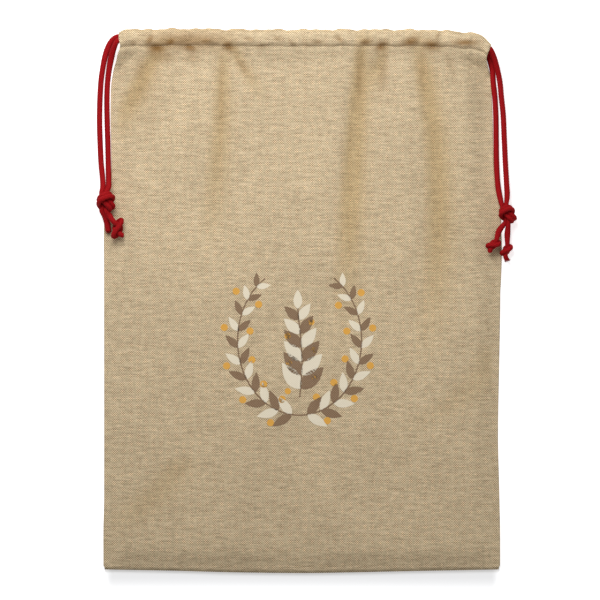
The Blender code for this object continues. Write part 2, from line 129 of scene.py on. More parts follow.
# An overhand knot drawn tight, from its middle out to one end, in knot units: across the cord, along it
# and towards the eye. Its other half is this one turned half round about the first axis.
KNOT_HALF = (
    (0.9, 0, 0), (0.85, 0.2, -0.6), (0.6, 0.5, -1.15), (0, 0.8, -1.4),
    (-0.65, 1, -1.15), (-1, 0.95, -0.55), (-1.05, 0.65, 0.1), (-0.65, 0.2, 0.5),
    (-0.15, -0.35, 0.48), (0.1, -0.95, 0.3), (0.2, -1.6, 0.2))
PAIR_SPREAD = (2.0, 1.8, 1.6)  # the knot opens up by this much for two cords side by side
PAIR_OFFSET = 0.53  # each of the two lies this far from their shared middle line
PAIR_TURN = -0.2  # radians that the pair is turned where it enters
DRAWN_CORD = 0.88  # a cord's diameter inside a knot, in knot units
KNOT_REACH = 1.6  # from a knot's middle to its low end, in knot units
KNOT_STEP = 0.12  # step along a knot's middle line as it is worked out, in knot units
KNOT_POINT = 0.62  # spacing of a tube's points inside a knot, in knot units

# Knots: middle, direction that the cord comes from, roll about it in degrees, and unit
LEFT_KNOT = dict(at=(-248, 124, 19.2), up=(0, 1, 0), roll=180, unit=5)
RIGHT_KNOT = dict(at=(257, 108.5, 15.9), up=(-0.12, 0.99, 0), roll=200, unit=4.5)
LEFT_STOPPER = dict(at=(-231.8, 91, 17.6), up=(-0.62, 0.78, 0), roll=90, unit=5.8)
RIGHT_STOPPER_IN = dict(at=(240.6, 70.6, 14.3), up=(0.42, 0.90, 0.1), roll=90, unit=5)
RIGHT_STOPPER_OUT = dict(at=(257.2, 63.6, 9.4), up=(0.05, 0.99, 0.05), roll=90, unit=4.8)
# Tails below the pairs' knots, down to the stopper or to the bare end
LEFT_TAIL_BARE = ((-247.6, 106, 12.6), (-245, 96, 8.6), (-243.4, 88, 7.2))
LEFT_TAIL_TIED = ((-243, 108, 15.5),)
RIGHT_TAIL_IN = ((247.4, 87, 14.4),)
RIGHT_TAIL_OUT = ((258.4, 84, 11),)
STUB = 1.6  # what is left of a tail past its stopper

# Finer creases of the front: wavelength, size, phase, and how far below the stitch line they reach
GATHERS = ((26, 0.55, 0.3, 34), (17, 0.4, 1.7, 22), (41, 0.6, 2.9, 55), (11.5, 0.25, 0.9, 14))
# Wrinkles of the casing's outer ply: wavelength, size, phase
CASING_WRINKLES = ((13, 0.34, 0.5), (21, 0.4, 2.1), (33, 0.36, 4), (8.5, 0.16, 1.1))
WRINKLE_LEAN = 0.3  # how far they run sideways for each step down
# Soft creases placed one by one, as troughs where the height is under zero
CREASES = (
    # x1, y1, x2, y2, half_width, height
    (-150, 300, -168, 210, 7, -0.8), (-60, 312, -44, 236, 6, -0.6),
    (-20, 314, -26, 250, 7, -0.5), (24, 314, 30, 262, 6, -0.6),
    (126, 316, 112, 232, 7, -0.8), (188, 314, 196, 244, 7, -0.7),
    (-206, 150, -182, -20, 16, 0.5), (196, 120, 206, -60, 14, -0.6),
    (-120, -60, -150, -230, 20, 0.5), (40, -120, 20, -300, 24, -0.4),
    (150, -190, 210, -290, 22, 0.6),
)
CREASE_FADE = 0.3  # a crease comes in and goes over this share of its length
# Uneven lie of the whole cloth: scale across, size
LIE = ((90.0, 1.0), (34.0, 0.32))
LIE_STRETCH = 1.6  # and how much longer its swells are from top to bottom
FINE_HOLD = 0.5  # share of STITCH_HOLD that these finer forms take
VALLEY_DEPTH = 3.0  # a fold this deep takes the whole of the shade painted into the folds
LIFTED_Z = SEAM_Z + 1.0  # cloth under this height lies on the seam and takes none of the shade painted into folds or pleats
STITCH_DIMPLE, DIMPLE_WIDTH = 0.1, 2.4  # how far the stitch line is drawn in, and over what half width
EASE, EASE_REACH = 3.6, 22.0  # the cloth's rise towards the casing, and how far below it starts

# Fine grids: columns, and how far they crowd towards the sides
FRONT_COLUMNS, FRONT_CROWDING = 214, 0.3
BACK_COLUMNS, BACK_CROWDING = 64, 0.6
HEM_ROWS, CASING_ROWS, FRONT_ROWS, BACK_ROWS = 8, 26, 168, 70
ROW_SPREAD = 1.35  # over 1 crowds the rows towards the casing

# Cord's braid
BRAID_AROUND = 6  # strands that cross each turn, each way
BRAID_PITCH = 3.6  # length of one strand's diamond along the cord
BRAID_DEPTH = 0.15  # share of the radius that the grooves take
BRAID_MEAN = 0.75  # relief at which the tube has its own radius
BRAID_ROUND, BRAID_FLAT = 0.6, 0.25  # powers that shape a strand across it and along it
RING_STEP, RING_SIDES = 0.55, 30  # spacing of the tube's rings, and their points
HIDDEN_EVERY = 5  # the runs inside the casings keep one ring of so many
ASIDE = (0.3, 0.2, 0.93)  # a direction that no cord starts along

KNOT_SWELL, KNOT_FULL = 1.42, 1.02  # soft cord fills out a knot's hollows, up to this share
PAIR_PACK = (0.80, 0.97, 0.84)  # and packs closer than the plain tubes can
LARGE_PACK, SMALL_PACK = (0.95, 1.02, 1.25), (0.90, 1.02, 0.80)  # likewise for the stoppers
LARGE_UNIT = 5.5  # a stopper of a greater unit than this is a large one
TAIL_FULL = 1.22  # share of CORD in the tails

# Frayed strands: ranges of the root's place in the cord's radius, of the length and of the slant
FRAY_ROOT, FRAY_LENGTH, FRAY_SPREAD = (0.1, 0.9), (0.5, 1.0), (0.05, 0.45)
FRAY_RADIUS, FRAY_TAPER = 0.42, 0.6  # radius at the root, and the share that the tip has lost
FRAY_RINGS, FRAY_SIDES = 5, (0.0, 2.1, 4.2)  # rings of a strand, and the radians of their points
FRAY_FLOOR = 0.8  # lowest height of a strand's middle line
FRAY_RELIEF = 0.7  # its place between the braid's groove and its crown, for the shade painted in the grooves

# Where the cloth's sides lie out from the solids', or in where it is under zero: height, then how far
LEFT_REACH = ((-300, 0), (-250, 0.4), (40, 0.6), (80, 0.9), (118, 0.8), (132, 2), (140, 2.8),
              (150, 1.6), (164, 0.5), (200, 0.7), (228, 0.9), (262, 0.5), (275, 0), (285, -0.8),
              (295, -1.5), (304, -2.8), (313, -2.6), (322, -4), (331, -2), (342, -1.8))
RIGHT_REACH = ((10, 0), (36, 1.2), (60, 1.7), (94, 1.9), (104, 3), (124, 3.9), (142, 4), (165, 3),
               (205, 2.3), (234, 1.8), (258, 1.2), (275, 2.2), (290, 3.3), (301, 2.4), (312, 0.3), (318, 0))

# Gathered pleats round the casing, with brown shade painted at each; in the casing they also sink its outer
# ply
PLEATS = (
    # x, y, half_width, half_height, lean, depth
    # a broad painted shade at the left, on the casing and under it
    (-142, 326, 56, 12, 0, 0.72), (-196, 268, 22, 34, 0.2, 0.16),
    # the pleats of the casing, from left to right
    (-211, 324, 6, 4, 0.3, 0.45), (-191, 327, 6, 8, 0.4, 0.85),
    (-183, 318, 13, 7.5, -0.3, 1), (-165, 325, 10, 8, 0.5, 1),
    (-141, 319, 10, 7.5, -0.5, 1), (-121, 326, 14, 6, 0.3, 0.85),
    (-93, 320, 8, 7, -0.3, 1), (-66, 328, 6, 3.5, -0.6, 0.55),
    (-51, 320, 7, 4, 0.3, 0.5), (-31, 329, 5, 3.5, -0.4, 0.5),
    (-12, 323, 3.5, 5, -0.6, 0.5), (5, 322, 3.5, 6, 0, 0.4),
    (20, 325, 8, 2.8, 0, 0.55), (47, 328, 4, 5, -0.7, 0.65),
    (80, 325, 8, 4, 0.2, 0.8), (99, 320, 7.5, 6.5, 0.4, 1),
    (136, 325, 11, 6, 0.6, 0.95), (163, 321, 12, 7, -0.2, 1),
    (170, 332, 3, 5, 0.5, 0.5), (205, 324, 16, 4, 0.2, 0.95),
    # and the painted shade of their ends in the cloth below
    (-205, 294, 9, 16, 0.2, 0.28), (-172, 306, 14, 8, 0.2, 0.45),
    (-138, 306, 10, 7, 0, 0.42), (-102, 258, 4.2, 44, 0, 0.26),
    (-77, 297, 4.5, 14, -0.6, 0.4), (72, 282, 3.8, 32, 0, 0.44),
    (102, 284, 6, 28, 0.1, 0.32), (150, 284, 4.5, 26, 0, 0.3),
    (186, 298, 4.5, 13, -0.3, 0.3), (-188, 240, 8, 26, 0.1, 0.16),
)
PLEAT_RELIEF = 0.5  # how far the deepest pleat sinks
RIM_PAINTED_SHADE, RIM_REACH = 0.7, 5.0  # painted shade on the top fold, dimming its light from above, as a share of the full fold shade; and how far down it fades
SEAM_EASE, SEAM_EASE_FROM = 0.6, 0.5  # rounds off the casing's lower part, from this share of it down

# Stitches of the casing: how many, their half length, and the share of the width left free at each side
STITCH_COUNT, STITCH_HALF, STITCH_MARGIN = 120, 1.35, 0.015
# Each ring of one: its place in half lengths, and its radius
STITCH_RINGS = ((-1, 0.12), (-0.6, 0.4), (0, 0.46), (0.6, 0.4), (1, 0.12))
STITCH_SIDES = 6
STITCH_LIFT, STITCH_SINK = 0.1, 0.35  # its middle's height over the cloth, and how far its ends go down

# Printed sprigs in the middle of the front
PRINT_MIDDLE = (-3.0, -50.0)
PRINT_RADII = (78.0, 94.0)
SPRIG_SWEEP = 2.55  # radians that each curved sprig turns through
SPRIG_FOOT, SPRIG_RISE = -72.0, 112.0  # the upright one's foot under the middle, and its length
SPRIG_SWAY, SPRIG_TURN = 3.0, 4.0  # its sway to the sides, and the radians of it from foot to tip
STEM_HALF, STEM_STEPS = 0.9, 60  # half width of a stem, and the steps that it is drawn in
HEADING_STEP = 0.02  # share of a stem over which its heading is taken
LEAF_LEAN = 0.72  # radians from the stem
LEAF_STEPS, LEAF_STRIPS = 12, 4  # along a leaf, and across each half of it
LEAF_BELLY, LEAF_ROUND = 0.8, 0.9  # powers that put a leaf's belly near its foot and blunt its ends
LEAF_TIP = 0.02  # half width that is left at its ends
# Pairs of leaves up a stem: how many, the shares of it where they sit, and their size, less by so much each
CURVED_LEAVES = dict(pairs=11, first=0.05, step=0.088, length=29.0, shorter=1.1, width=11.5, narrower=0.4)
UPRIGHT_LEAVES = dict(pairs=6, first=0.10, step=0.155, length=40.0, shorter=3.0, width=19.0, narrower=1.5)
TOP_LEAF = (24.0, 11.0)  # the upright sprig's last leaf: length, width
# Berries: radius, reach to each side and lean on the curved sprigs, then radius and offset on the upright
CURVED_BERRY, CURVED_REACH, BERRY_LEAN = 4.6, ((-1, 15.0), (1, 18.0)), 1.45
UPRIGHT_BERRY, UPRIGHT_REACH = 4.0, (16.0, -3.0)
DOT_SIDES = 16
PRINT_LIFT = 0.22  # ink film over the cloth
INKS = dict(cream=(0.80, 0.72, 0.56), brown=(0.20, 0.115, 0.065), amber=(0.74, 0.36, 0.04))


def smoothstep(value):
    t = min(1.0, max(0.0, value))
    return t * t * (3.0 - 2.0 * t)


def along_table(table, at):
    """Smooth value at a place in a table of (place, value) rows, with places rising."""
    places = [row[0] for row in table]
    values = [row[1] for row in table]
    at = min(places[-1], max(places[0], at))
    i = min(len(table) - 2, max(0, int(np.searchsorted(places, at, side="right")) - 1))

    def slope(k):
        low, high = max(0, k - 1), min(len(table) - 1, k + 1)
        return (values[high] - values[low]) / (places[high] - places[low])

    step = places[i + 1] - places[i]
    t = (at - places[i]) / step
    start = values[i] * (1 + 2 * t) * (1 - t) ** 2 + slope(i) * step * t * (1 - t) ** 2
    return start + values[i + 1] * t * t * (3 - 2 * t) + slope(i + 1) * step * t * t * (t - 1)


def waves(table, x):
    return sum(size * sin(2 * pi * x / length + phase) for length, size, phase in table)


def fold_relief(x, y):
    """Height that the folds add to the front at a place."""
    relief = 0.0
    for x_top, y_top, x_mid, y_mid, x_low, y_low, half_width, depth, bank in FOLDS:
        t = (y_top - y) / (y_top - y_low)
        if not -FOLD_FADE < t < 1 + FOLD_FADE:
            continue
        t_mid = (y_top - y_mid) / (y_top - y_low)
        bend = (x_mid - x_top - (x_low - x_top) * t_mid) / (t_mid * (1 - t_mid))
        middle = x_top + (x_low - x_top) * t + bend * t * (1 - t)
        comes_in = smoothstep((t + FOLD_FADE) / (2 * FOLD_FADE))
        fades = smoothstep((t - FOLD_RUN) / (1 + FOLD_FADE - FOLD_RUN))
        strength = depth * comes_in * (1 - fades)
        width = half_width * (FOLD_WIDTH[0] + FOLD_WIDTH[1] * t)
        q = (x - middle) / width
        relief += strength * (bank * exp(-(q + BANK_PLACE) ** 2) - exp(-q * q))
    return relief


def casing_lift(below_fold):
    """Share of the casing's bulge at a distance below the top fold."""
    return sin(pi * min(1.0, max(0.0, below_fold / CASING))) ** BULGE_POWER


def edge_point(u, height, tuck):
    """Place in plan of a column (u from 0 to 1) in the row of this nominal height."""
    left, right = along_table(LEFT_EDGE, height), along_table(RIGHT_EDGE, height)
    left -= along_table(LEFT_REACH, height)
    right += along_table(RIGHT_REACH, height)
    x = left + (right - left) * u
    top_shift = along_table(TOP_EDGE, x) + waves(SCALLOPS, x) - TOP - tuck
    below = max(0.0, TOP - height)
    if below <= CASING:
        y = height + top_shift * (1 - TOP_SETTLE * below / CASING)
    else:
        y = height + top_shift * (1 - TOP_SETTLE) * (1 - smoothstep((below - CASING) / TOP_REACH))
    foot = smoothstep((BOTTOM + FOOT_REACH - height) / FOOT_REACH)
    y += foot * (along_table(LOWER_EDGE, x) - BOTTOM)
    if height <= BOTTOM and min(u, 1 - u) < 1e-6:
        x += CORNER_CUT if u < 0.5 else -CORNER_CUT
        y += CORNER_CUT
    return x, y


def back_point(u, kind, value):
    """The same for the back, where the cord lifts the hem and the rest lies flat."""
    height = value if kind == "body" else TOP - value
    x, y = edge_point(u, height, BACK_TUCK)
    if kind == "fold":
        return x, y, BACK_Z + CLOTH
    if kind == "casing" and value < FOLD_CURL:
        return x, y, BACK_Z + PLY_GAP
    if kind in ("body", "casing"):
        return x, y, BACK_Z
    return x, y, BACK_Z + CLOTH + PLY_GAP + CASING_BULGE * casing_lift(value)


def spline_points(points, spacing):
    """Points about this far apart on a smooth curve through the route's own, with a radius share each."""
    rows = [np.array(p, dtype=float) for p in points]
    rows = [2 * rows[0] - rows[1], *rows, 2 * rows[-1] - rows[-2]]
    out = []
    for p0, p1, p2, p3 in zip(rows, rows[1:], rows[2:], rows[3:]):
        t1 = sqrt(norm(p1[:3] - p0[:3]))
        t2 = t1 + sqrt(norm(p2[:3] - p1[:3]))
        t3 = t2 + sqrt(norm(p3[:3] - p2[:3]))
        pieces = max(1, round(norm(p2[:3] - p1[:3]) / spacing))
        for k in range(pieces):
            t = t1 + (t2 - t1) * k / pieces
            a1 = (t1 - t) / t1 * p0 + t / t1 * p1
            a2 = (t2 - t) / (t2 - t1) * p1 + (t - t1) / (t2 - t1) * p2
            a3 = (t3 - t) / (t3 - t2) * p2 + (t - t2) / (t3 - t2) * p3
            b1 = (t2 - t) / t2 * a1 + t / t2 * a2
            b2 = (t3 - t) / (t3 - t1) * a2 + (t - t1) / (t3 - t1) * a3
            out.append((t2 - t) / (t2 - t1) * b1 + (t - t1) / (t2 - t1) * b2)
    out.append(rows[-2])
    return out


def facing(direction):
    """A unit direction, the level one across it, and the one square to both, towards the eye."""
    along = Vector(direction).normalized()
    across = along.cross(Vector((0.0, 0.0, 1.0))).normalized()
    return along, across, across.cross(along)


def knotted(unit):
    """Share of CORD that a cord has inside a knot."""
    return min(KNOT_FULL, KNOT_SWELL * DRAWN_CORD * unit / CORD)


def knot_points(at, up, roll, unit, pair_side=0):
    """An overhand knot's route, entered from its up side, with each point's share of the cord's radius.

    pair_side is 0 for a cord knotted alone, and 1 or -1 for either cord of a pair.
    """
    along, across, toward = facing(up)
    turn = radians(roll)
    side = across * cos(turn) + toward * sin(turn)
    face = toward * cos(turn) - across * sin(turn)
    lone_pack = LARGE_PACK if unit > LARGE_UNIT else SMALL_PACK
    spread = np.array(PAIR_SPREAD) * PAIR_PACK if pair_side else np.array(lone_pack)
    half = [np.array(p) * spread for p in KNOT_HALF]
    turned = [p * (1, -1, -1) for p in half[:0:-1]]
    middle_line = [p[:3] for p in spline_points([(*p, 1.0) for p in turned + half], KNOT_STEP)]
    offset = np.array((cos(PAIR_TURN), 0.0, sin(PAIR_TURN)))
    route, walked = [], 0.0
    for k, here in enumerate(middle_line):
        before, after = middle_line[max(0, k - 1)], middle_line[min(len(middle_line) - 1, k + 1)]
        tangent = (after - before) / norm(after - before)
        offset = offset - tangent * offset.dot(tangent)
        offset /= norm(offset)
        walked += norm(here - before)
        if route and walked < KNOT_POINT and k < len(middle_line) - 1:
            continue
        walked = 0.0
        place = (here + offset * PAIR_OFFSET * pair_side) * unit
        world = Vector(at) + side * place[0] + along * place[1] + face * place[2]
        route.append((*world, knotted(unit)))
    return route


def strand(points, shoulder, knot, side, tail, stopper=None):
    """One strand's route from its casing's end, through the pair's knot and down its tail."""
    route = [(*p, shoulder[k] if k < len(shoulder) else FREE_CORD / CORD) for k, p in enumerate(points[:-1])]
    route += [(*points[-1], NECK)] + knot_points(**knot, pair_side=side)[1:-1]
    route += [(*p, TAIL_FULL) for p in tail]
    if stopper:
        down = Vector(stopper["up"]).normalized() * (KNOT_REACH * stopper["unit"] + STUB)
        route += knot_points(**stopper) + [(*(Vector(stopper["at"]) - down), knotted(stopper["unit"]))]
    return route


def cord_routes():
    """Each cord's whole route, from the tail at the left corner to the tail at the right corner."""
    left = (strand(LEFT_FRONT, LEFT_SHOULDER, LEFT_KNOT, -1, LEFT_TAIL_BARE),
            strand(LEFT_BACK, LEFT_SHOULDER, LEFT_KNOT, 1, LEFT_TAIL_TIED, LEFT_STOPPER))
    right = (strand(RIGHT_FRONT, RIGHT_SHOULDER, RIGHT_KNOT, -1, RIGHT_TAIL_IN, RIGHT_STOPPER_IN),
             strand(RIGHT_BACK, RIGHT_SHOULDER, RIGHT_KNOT, 1, RIGHT_TAIL_OUT, RIGHT_STOPPER_OUT))
    runs = ([(x, CASING_Y, z, 1.0) for x in CASING_RUN] for z in (FRONT_CORD_Z, BACK_CORD_Z))
    return {name: start[::-1] + run + end
            for name, start, run, end in zip(("drawcord_front", "drawcord_back"), left, runs, right)}


def fine_relief(x, y):
    """Height that the smaller creases add to the front at a place."""
    below = max(0.0, TOP - CASING - y)
    relief = sum(size * sin(2 * pi * x / length + phase) * exp(-below / reach)
                 for length, size, phase, reach in GATHERS)
    for x1, y1, x2, y2, half_width, height in CREASES:
        run = hypot(x2 - x1, y2 - y1)
        along = ((x - x1) * (x2 - x1) + (y - y1) * (y2 - y1)) / run
        across = ((x - x1) * (y2 - y1) - (y - y1) * (x2 - x1)) / run
        fade = CREASE_FADE * run
        ends = smoothstep(along / fade) * smoothstep((run - along) / fade)
        relief += height * ends * exp(-(across / half_width) ** 2)
    for scale, size in LIE:
        relief += size * noise.noise(Vector((x / scale, y / (LIE_STRETCH * scale), scale)))
    return relief


def pleat_depth(x, y):
    """Share from 0 to 1 of a pleat's depth at a place, for the casing's sinking and the pleats' painted
    shade.
    """
    depth = 0.0
    for at_x, at_y, half_width, half_height, lean, size in PLEATS:
        across, along = x - at_x - lean * (y - at_y), y - at_y
        depth = max(depth, size * exp(-(across / half_width) ** 2 - (along / half_height) ** 2))
    return depth


def front_height(u, x, height):
    """Mid-surface of the front's outer ply below its stitch line, with the finer creases."""
    left, right = along_table(LEFT_EDGE, height), along_table(RIGHT_EDGE, height)
    side = smoothstep(min(x - left, right - x) / SIDE_RISE)
    lift = smoothstep((height - END_LIFT[0]) / (END_LIFT[1] - END_LIFT[0]))
    foot = smoothstep((height - BOTTOM) / FOOT_RISE)
    free = max(side, lift) * foot
    high = along_table(FRONT_HEIGHT, height) + fold_relief(x, height) * (1 - lift * STITCH_HOLD)
    high += fine_relief(x, height) * (1 - lift * STITCH_HOLD * FINE_HOLD)
    high += EASE * smoothstep(1 - (TOP - CASING - height) / EASE_REACH)
    stitch = (height - TOP + CASING) / DIMPLE_WIDTH
    return SEAM_Z + (high - SEAM_Z) * free - STITCH_DIMPLE * exp(-stitch * stitch)


def front_point(u, kind, value):
    """A point of the front's mid-surface: value is a body row's height, or how far below the fold."""
    height = value if kind == "body" else TOP - value
    x, y = edge_point(u, height, 0.0)
    if kind == "body":
        return x, y, front_height(u, x, height)
    if kind == "fold":
        return x, y, FRONT_HEM_Z + CLOTH
    stitched = front_height(u, x, min(height, TOP - CASING)) - CLOTH - PLY_GAP
    hem = FRONT_HEM_Z + (stitched - FRONT_HEM_Z) * smoothstep((value - HEM_LEVEL) / (CASING - HEM_LEVEL))
    if kind == "hem":
        return x, y, hem
    low = smoothstep((value / CASING - SEAM_EASE_FROM) / (1 - SEAM_EASE_FROM))
    lift = casing_lift(value) ** (1 + SEAM_EASE * low)
    pucker = max(0.0, waves(PUCKERS, x)) * smoothstep((value - PUCKER_START) / (CASING - PUCKER_START))
    wrinkle = waves(CASING_WRINKLES, x + WRINKLE_LEAN * value)
    bulge = CASING_BULGE + pucker + wrinkle - PLEAT_RELIEF * pleat_depth(x, y)
    return x, y, hem + CLOTH + PLY_GAP + bulge * lift


def sheet_rows(body_rows):
    """Rows of one cloth from the hem's raw edge over the fold down to the lower edge."""
    reach = CASING + HEM_END
    rows = [("hem", reach + (HEM_START - reach) * k / (HEM_ROWS - 1)) for k in range(HEM_ROWS)]
    rows += [("fold", 0.0)]
    rows += [("casing", CASING * (k + 1) / (CASING_ROWS + 1)) for k in range(CASING_ROWS)]
    top = TOP - CASING
    rows += [("body", top - (top - BOTTOM) * (k / body_rows) ** ROW_SPREAD) for k in range(body_rows + 1)]
    return rows


# ---- Materials


class Nodes:
    """A material's node tree, built one call a node."""

    def __init__(self, name):
        self.material = bpy.data.materials.new(name)
        self.material.use_nodes = True
        self.tree = self.material.node_tree
        self.shader = self.tree.nodes["Principled BSDF"]
        self.place = self.add("ShaderNodeTexCoord").outputs["Object"]

    def add(self, kind, inputs=None, **settings):
        made = self.tree.nodes.new(kind)
        for key, value in settings.items():
            setattr(made, key, value)
        for key, value in (inputs or {}).items():
            self.link(value, made.inputs[key])
        return made

    def link(self, value, socket):
        if isinstance(value, bpy.types.NodeSocket):
            self.tree.links.new(value, socket)
        else:
            socket.default_value = value

    def math(self, operation, a, b=0.0):
        made = self.add("ShaderNodeMath", operation=operation)
        self.link(a, made.inputs[0])
        self.link(b, made.inputs[1])
        return made.outputs[0]

    def times(self, a, b):
        return self.math("MULTIPLY", a, b)

    def noise(self, vector, scale, detail=2.0, rough=0.5):
        made = self.add("ShaderNodeTexNoise", {"Vector": vector, "Scale": scale, "Detail": detail,
                                               "Roughness": rough})
        return made.outputs["Fac"]

    def vector(self, x, y, z=0.0):
        return self.add("ShaderNodeCombineXYZ", {"X": x, "Y": y, "Z": z}).outputs[0]

    def mix(self, share, a, b, blend="MIX"):
        made = self.add("ShaderNodeMix", data_type="RGBA", blend_type=blend)
        self.link(share, made.inputs["Factor"])
        self.link(a, made.inputs[6])
        self.link(b, made.inputs[7])
        return made.outputs[2]

    def ramp(self, value, low, high, to_low, to_high, kind="LINEAR"):
        made = self.add("ShaderNodeMapRange", {"Value": value, "From Min": low, "From Max": high,
                                               "To Min": to_low, "To Max": to_high}, interpolation_type=kind)
        return made.outputs[0]

    def stored(self, name):
        """A value that the mesh holds for each of its points."""
        return self.add("ShaderNodeAttribute", attribute_name=name).outputs["Fac"]

    def rgb(self, red, green, blue):
        return self.add("ShaderNodeCombineColor", {"Red": red, "Green": green, "Blue": blue}).outputs[0]

    def finish(self, inputs):
        """The material, with these inputs of its shader set."""
        for key, value in inputs.items():
            self.link(value, self.shader.inputs[key])
        return self.material

    def fabric(self, color, relief, roughness, specular, strength, depth):
        bump = self.add("ShaderNodeBump", {"Height": relief, "Strength": strength, "Distance": depth})
        return self.finish({"Base Color": color, "Roughness": roughness, "Specular IOR Level": specular,
                            "Normal": bump.outputs[0]})


THREAD = 1.45 * MM  # pitch of the weave
WANDER, WANDER_SCALE = 1.0 * MM, 38.0  # how far the threads stray, and over what lengths (one over metres)
SLUB_SCALE = 62.0  # a slub's length, likewise
ROW_APART, SPOT_APART = 5.37, 3.71  # set the noise of neighbouring threads and crossings apart
WEFT_TONE, WARP_TONE, OVER_TONE, SPOT_TONE = 1.15, 0.42, 0.80, 0.45  # what each adds to the threads' tone
TONE_SPAN = 0.67  # the tone runs this far either side of the middle colour
NOISE_SPAN = (0.3, 0.7)  # the range that most of a noise lies in
BLOTCH_SCALE, BLOTCH = 9.0, 0.05  # uneven shade of the cloth, and how far it goes up and down
DARK_TAN = (0.18, 0.125, 0.065, 1.0)
TAN = (0.545, 0.425, 0.265, 1.0)
PALE_TAN = (0.91, 0.725, 0.465, 1.0)
FOLD_PAINTED_SHADE = (0.87, 0.81, 0.68)  # shade painted into a deep fold: what it leaves of each colour
PLEAT_PAINTED_SHADE = (0.44, 0.31, 0.18)  # and the shade painted into a pleat of the casing
INK_WEAR, WORN_TONE = 0.30, (-0.4, 0.3)  # share of the cloth that shows through ink, over these tones
# the first red is shade painted into the braid's grooves, the second the cord's own red, the third its
# lighter fuzz
GROOVE_SHADE_RED, RED, FUZZ_RED = (0.085, 0.002, 0.003, 1.0), (0.345, 0.005, 0.007, 1.0), (0.40, 0.009, 0.011, 1.0)
GROOVE_SPAN = (0.15, 0.85)  # relief of the braid from the full painted groove shade to the cord's own red
FUZZ_SCALE, FUZZ = 900.0, 0.35  # fine mottle of the cord, and the most that it shows
THREAD_TAN = (0.55, 0.43, 0.28)
MOTTLE_SCALE, MOTTLE, MOTTLE_SHADE = 500.0, 0.3, 0.75  # likewise, and its darker shade
# Roughness, specular level, and the bump's strength and depth
BURLAP_FINISH = (0.93, 0.15, 0.55, 0.28 * MM)
INK_FINISH = (0.85, 0.15, 0.45, 0.25 * MM)
COTTON_FINISH = (0.8, 0.08, 0.35, 0.25 * MM)
MATT = 0.9  # roughness of the rest


def weave(nodes):
    """Plain weave on the cloth's plane: (tone of the threads, their relief)."""
    part = nodes.add("ShaderNodeSeparateXYZ", {"Vector": nodes.place}).outputs
    wander = nodes.noise(nodes.place, WANDER_SCALE)
    threads = []
    for across, along, seed in ((part["Y"], part["X"], 3.0), (part["X"], part["Y"], 8.0)):
        shifted = nodes.math("ADD", across, nodes.times(wander, WANDER))
        count = nodes.math("DIVIDE", shifted, THREAD)
        row = nodes.math("FLOOR", count)
        middle = nodes.math("PINGPONG", nodes.times(count, 2.0), 1.0)
        lane = nodes.vector(nodes.times(along, SLUB_SCALE), nodes.times(row, ROW_APART), seed)
        threads.append((middle, row, nodes.noise(lane, 1.0, 3.0, 0.6)))
    (weft, weft_row, weft_slub), (warp, warp_row, warp_slub) = threads
    over = nodes.math("PINGPONG", nodes.math("ADD", weft_row, warp_row), 1.0)
    under = nodes.math("SUBTRACT", 1.0, over)
    height = nodes.math("ADD", nodes.times(weft, over), nodes.times(warp, under))
    spot = nodes.vector(nodes.times(weft_row, SPOT_APART), nodes.times(warp_row, SPOT_APART))
    tone = 0.0
    for value, share in ((weft_slub, WEFT_TONE), (warp_slub, WARP_TONE), (over, OVER_TONE),
                         (nodes.noise(spot, 1.0, 1.0), SPOT_TONE)):
        tone = nodes.math("ADD", nodes.times(nodes.math("SUBTRACT", value, 0.5), share), tone)
    return tone, nodes.math("ADD", height, weft_slub)


def burlap(name):
    """The weave, with shade painted into its folds, its pleats and its top fold."""
    nodes = Nodes(name)
    tone, relief = weave(nodes)
    color = nodes.mix(nodes.ramp(tone, -TONE_SPAN, TONE_SPAN, 0.0, 1.0), DARK_TAN, PALE_TAN)
    blotch = nodes.ramp(nodes.noise(nodes.place, BLOTCH_SCALE, 3.0), *NOISE_SPAN, 1 - BLOTCH, 1 + BLOTCH)
    # shade painted into the folds, the top fold and the pleats, times the random blotch of the cloth
    painted_fold_shade, painted_pleat_shade = nodes.stored("painted_fold_shade"), nodes.stored("painted_pleat_shade")
    shade = []
    for fold_shade_channel, pleat_shade_channel in zip(FOLD_PAINTED_SHADE, PLEAT_PAINTED_SHADE):
        blotch_and_fold_shade = nodes.times(blotch, nodes.ramp(painted_fold_shade, 0.0, 1.0, 1.0, fold_shade_channel))
        shade.append(nodes.times(blotch_and_fold_shade, nodes.ramp(painted_pleat_shade, 0.0, 1.0, 1.0, pleat_shade_channel)))
    color = nodes.mix(1.0, color, nodes.rgb(*shade), "MULTIPLY")
    return nodes.fabric(color, relief, *BURLAP_FINISH)


def cotton(name):
    """Braided cord: shade is painted into its grooves, from the mesh's own relief."""
    nodes = Nodes(name)
    fuzz = nodes.noise(nodes.place, FUZZ_SCALE, 3.0)
    color = nodes.mix(nodes.ramp(nodes.stored("relief"), *GROOVE_SPAN, 0.0, 1.0), GROOVE_SHADE_RED, RED)
    color = nodes.mix(nodes.ramp(fuzz, *NOISE_SPAN, 0.0, FUZZ), color, FUZZ_RED)
    return nodes.fabric(color, fuzz, *COTTON_FINISH)


def ink(name, color):
    """Printed colour that the weave shows through."""
    nodes = Nodes(name)
    tone, relief = weave(nodes)
    worn = nodes.mix(nodes.ramp(tone, *WORN_TONE, INK_WEAR, 0.0), (*color, 1.0), TAN)
    return nodes.fabric(worn, relief, *INK_FINISH)


def plain(name, color):
    """One matt colour, a little mottled, for the stitches."""
    nodes = Nodes(name)
    mottle = nodes.ramp(nodes.noise(nodes.place, MOTTLE_SCALE), *NOISE_SPAN, 0.0, MOTTLE)
    mottled = nodes.mix(mottle, (*color, 1.0), (*(MOTTLE_SHADE * c for c in color), 1.0))
    return nodes.finish({"Base Color": mottled, "Roughness": MATT})


# ---- Meshes


